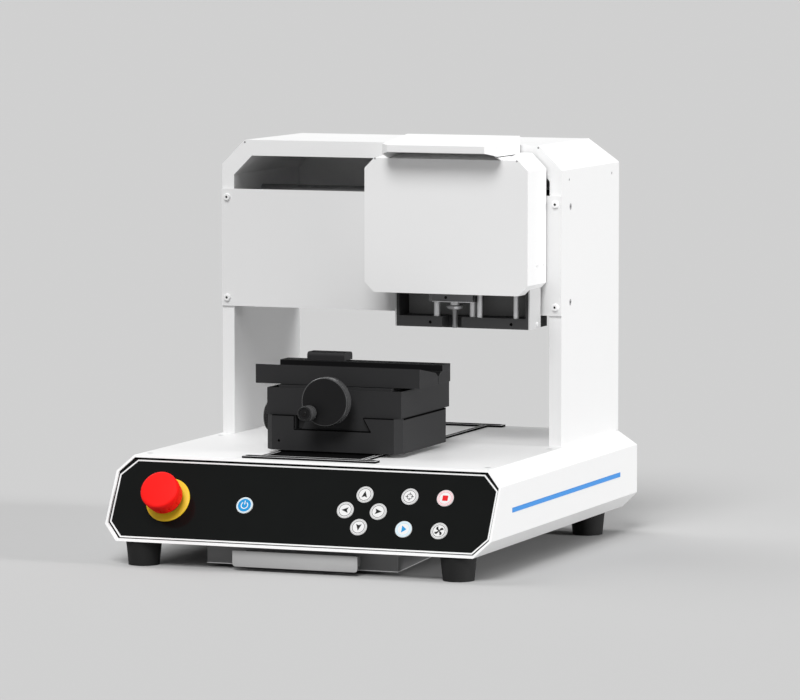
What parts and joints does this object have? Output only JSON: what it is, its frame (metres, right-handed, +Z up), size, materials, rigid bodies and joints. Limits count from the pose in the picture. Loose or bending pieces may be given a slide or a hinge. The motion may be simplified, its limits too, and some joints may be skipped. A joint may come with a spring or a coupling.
{
  "type": "desktop engraving machine",
  "caption": "Desktop engraving machine: portal with a sliding spindle head, button panel on a sloped base, and a crank-driven cross vise on a moving table.",
  "frame": {"origin": "on the floor, under the middle of the base", "axes": "+Z up, +X to the machine's right, the control panel faces -Y"},
  "size_m": [0.4206, 0.4739, 0.4318],
  "materials": {
    "white_paint": "fine satin powder coat",
    "zinc_sheet": "grey coated sheet",
    "panel_black": "smooth black panel",
    "stripe_blue": "glossy blue strip",
    "foot_rubber": "matt rubber",
    "ring_yellow": "satin yellow",
    "collar_black": "matt",
    "stem_grey": "matt",
    "stop_red": "smooth red",
    "button_white": "smooth white",
    "board_green": "circuit board",
    "tray_dark": "dark textured coat",
    "pull_grey": "light grey textured coat",
    "frame_alu": "brushed",
    "table_black": "black oxide",
    "bearing_alu": "bead blasted",
    "ground_steel": "ground and polished",
    "screw_steel": "machined",
    "motor_black": "black laminations",
    "frame_black": "fine black texture",
    "collet_steel": "turned",
    "cutter_steel": "ground carbide",
    "vise_black": "black oxide, satin",
    "wheel_black": "moulded, satin",
    "inlet_black": "moulded",
    "supply_alu": "pressed sheet"
  },
  "bodies": {
    "base": {"base_shell": "white_paint", "bottom_plate": "zinc_sheet", "control_panel": "panel_black", "side_stripes": "stripe_blue", "rubber_feet": "foot_rubber", "e_stop_ring": "ring_yellow", "e_stop_collar": "collar_black", "button_board": "board_green", "slide_frame": "frame_alu", "y_guides": "ground_steel", "y_motor": "motor_black", "gantry_shell": "white_paint", "cover_plate": "white_paint", "cover_screws": "white_paint", "rear_cover": "white_paint", "x_rods": "ground_steel", "x_motor": "motor_black", "power_inlet": "inlet_black", "fan_frame": "inlet_black", "control_board": "board_green", "power_supply": "supply_alu"},
    "stop_stem": {"e_stop_stem": "stem_grey"},
    "stop_head": {"e_stop_head": "stop_red"},
    "tray": {"chip_tray": "tray_dark", "tray_pull": "pull_grey"},
    "table": {"y_table": "table_black", "y_carriage": "bearing_alu", "vise_base": "vise_black"},
    "y_screw": {"y_lead_screw": "screw_steel"},
    "cross_slide": {"vise_slide": "vise_black"},
    "lock": {"lock_knob": "wheel_black"},
    "wheel": {"vise_screw": "screw_steel", "vise_wheel": "wheel_black"},
    "crank": {"crank_handle": "wheel_black"},
    "front_jaw": {"jaw_front": "vise_black"},
    "rear_jaw": {"jaw_rear": "vise_black", "work_stop": "vise_black"},
    "head": {"x_carriage": "bearing_alu", "head_frame": "frame_black", "head_skins": "white_paint", "head_cover": "white_paint", "hood": "white_paint", "z_tower": "ground_steel", "z_motor": "motor_black"},
    "x_screw": {"x_lead_screw": "screw_steel"},
    "spindle_slide": {"spindle_block": "bearing_alu", "spindle_motor": "motor_black"},
    "z_screw": {"z_lead_screw": "screw_steel"},
    "spindle": {"spindle_collet": "collet_steel", "cutter": "cutter_steel"},
    "fan": {"fan_rotor": "inlet_black"},
    "key_power": {"button_power": "button_white"},
    "key_up": {"button_up": "button_white"},
    "key_left": {"button_left": "button_white"},
    "key_right": {"button_right": "button_white"},
    "key_down": {"button_down": "button_white"},
    "key_focus": {"button_focus": "button_white"},
    "key_stop": {"button_stop": "button_white"},
    "key_play": {"button_play": "button_white"},
    "key_fan": {"button_fan": "button_white"}
  },
  "joints": [
    {"name": "stop_press", "type": "slide", "parent": "base", "child": "stop_stem", "axis": [0, 0.8678, -0.497], "range_m": [0, 0.0035]},
    {"name": "stop_twist", "type": "hinge", "parent": "stop_stem", "child": "stop_head", "pos_m": [-0.147, -0.22358, 0.07578], "axis": [0, -0.8678, 0.497], "range_deg": [-45, 0], "stiffness_Nm_per_rad": 0.02},
    {"name": "tray_slide", "type": "slide", "parent": "base", "child": "tray", "axis": [0, -1, 0], "range_m": [0, 0.18]},
    {"name": "y_travel", "type": "slide", "parent": "base", "child": "table", "axis": [0, 1, 0], "range_m": [0, 0.13]},
    {"name": "y_screw_turn", "type": "hinge", "parent": "base", "child": "y_screw", "pos_m": [0, 0, 0.07], "axis": [0, 1, 0], "continuous": true},
    {"name": "cross_travel", "type": "slide", "parent": "table", "child": "cross_slide", "axis": [0, 1, 0], "range_m": [-0.02, 0.02]},
    {"name": "lock_turn", "type": "hinge", "parent": "table", "child": "lock", "pos_m": [-0.085, -0.0757, 0.1425], "axis": [-1, 0, 0], "range_deg": [-90, 90]},
    {"name": "wheel_turn", "type": "hinge", "parent": "cross_slide", "child": "wheel", "pos_m": [0, -0.14, 0.1658], "axis": [0, -1, 0], "range_deg": [0, 1985]},
    {"name": "crank_spin", "type": "hinge", "parent": "wheel", "child": "crank", "pos_m": [-0.015, -0.155, 0.1548], "axis": [0, -1, 0], "continuous": true},
    {"name": "front_jaw_travel", "type": "slide", "parent": "cross_slide", "child": "front_jaw", "axis": [0, -1, 0], "range_m": [0, 0.022]},
    {"name": "rear_jaw_travel", "type": "slide", "parent": "cross_slide", "child": "rear_jaw", "axis": [0, 1, 0], "range_m": [0, 0.022]},
    {"name": "x_travel", "type": "slide", "parent": "base", "child": "head", "axis": [1, 0, 0], "range_m": [-0.168, 0]},
    {"name": "x_screw_turn", "type": "hinge", "parent": "base", "child": "x_screw", "pos_m": [0, 0.1203, 0.3276], "axis": [1, 0, 0], "continuous": true},
    {"name": "z_travel", "type": "slide", "parent": "head", "child": "spindle_slide", "axis": [0, 0, 1], "range_m": [-0.014, 0.026]},
    {"name": "z_screw_turn", "type": "hinge", "parent": "head", "child": "z_screw", "pos_m": [0.13, 0.0145, 0.32], "axis": [0, 0, 1], "continuous": true},
    {"name": "spindle_spin", "type": "hinge", "parent": "spindle_slide", "child": "spindle", "pos_m": [0.0834, 0.0125, 0.26], "axis": [0, 0, 1], "continuous": true},
    {"name": "fan_spin", "type": "hinge", "parent": "base", "child": "fan", "pos_m": [0.13, 0.22, 0.06], "axis": [0, 1, 0], "continuous": true},
    {"name": "press_power", "type": "slide", "parent": "base", "child": "key_power", "axis": [0, 0.8678, -0.497], "range_m": [0, 0.001], "stiffness_N_per_m": 300, "springref_m": -0.0005},
    {"name": "press_up", "type": "slide", "parent": "base", "child": "key_up", "axis": [0, 0.8678, -0.497], "range_m": [0, 0.001], "stiffness_N_per_m": 300, "springref_m": -0.0005},
    {"name": "press_left", "type": "slide", "parent": "base", "child": "key_left", "axis": [0, 0.8678, -0.497], "range_m": [0, 0.001], "stiffness_N_per_m": 300, "springref_m": -0.0005},
    {"name": "press_right", "type": "slide", "parent": "base", "child": "key_right", "axis": [0, 0.8678, -0.497], "range_m": [0, 0.001], "stiffness_N_per_m": 300, "springref_m": -0.0005},
    {"name": "press_down", "type": "slide", "parent": "base", "child": "key_down", "axis": [0, 0.8678, -0.497], "range_m": [0, 0.001], "stiffness_N_per_m": 300, "springref_m": -0.0005},
    {"name": "press_focus", "type": "slide", "parent": "base", "child": "key_focus", "axis": [0, 0.8678, -0.497], "range_m": [0, 0.001], "stiffness_N_per_m": 300, "springref_m": -0.0005},
    {"name": "press_stop", "type": "slide", "parent": "base", "child": "key_stop", "axis": [0, 0.8678, -0.497], "range_m": [0, 0.001], "stiffness_N_per_m": 300, "springref_m": -0.0005},
    {"name": "press_play", "type": "slide", "parent": "base", "child": "key_play", "axis": [0, 0.8678, -0.497], "range_m": [0, 0.001], "stiffness_N_per_m": 300, "springref_m": -0.0005},
    {"name": "press_fan", "type": "slide", "parent": "base", "child": "key_fan", "axis": [0, 0.8678, -0.497], "range_m": [0, 0.001], "stiffness_N_per_m": 300, "springref_m": -0.0005}
  ],
  "couplings": [
    {"joint": "y_screw_turn", "follows": "y_travel", "rad_per_m": 1256.6},
    {"joint": "x_screw_turn", "follows": "x_travel", "rad_per_m": 1256.6},
    {"joint": "z_screw_turn", "follows": "z_travel", "rad_per_m": 1570.8},
    {"joint": "wheel_turn", "follows": "front_jaw_travel", "rad_per_m": 1570.8},
    {"joint": "rear_jaw_travel", "follows": "front_jaw_travel", "ratio": 1}
  ]
}
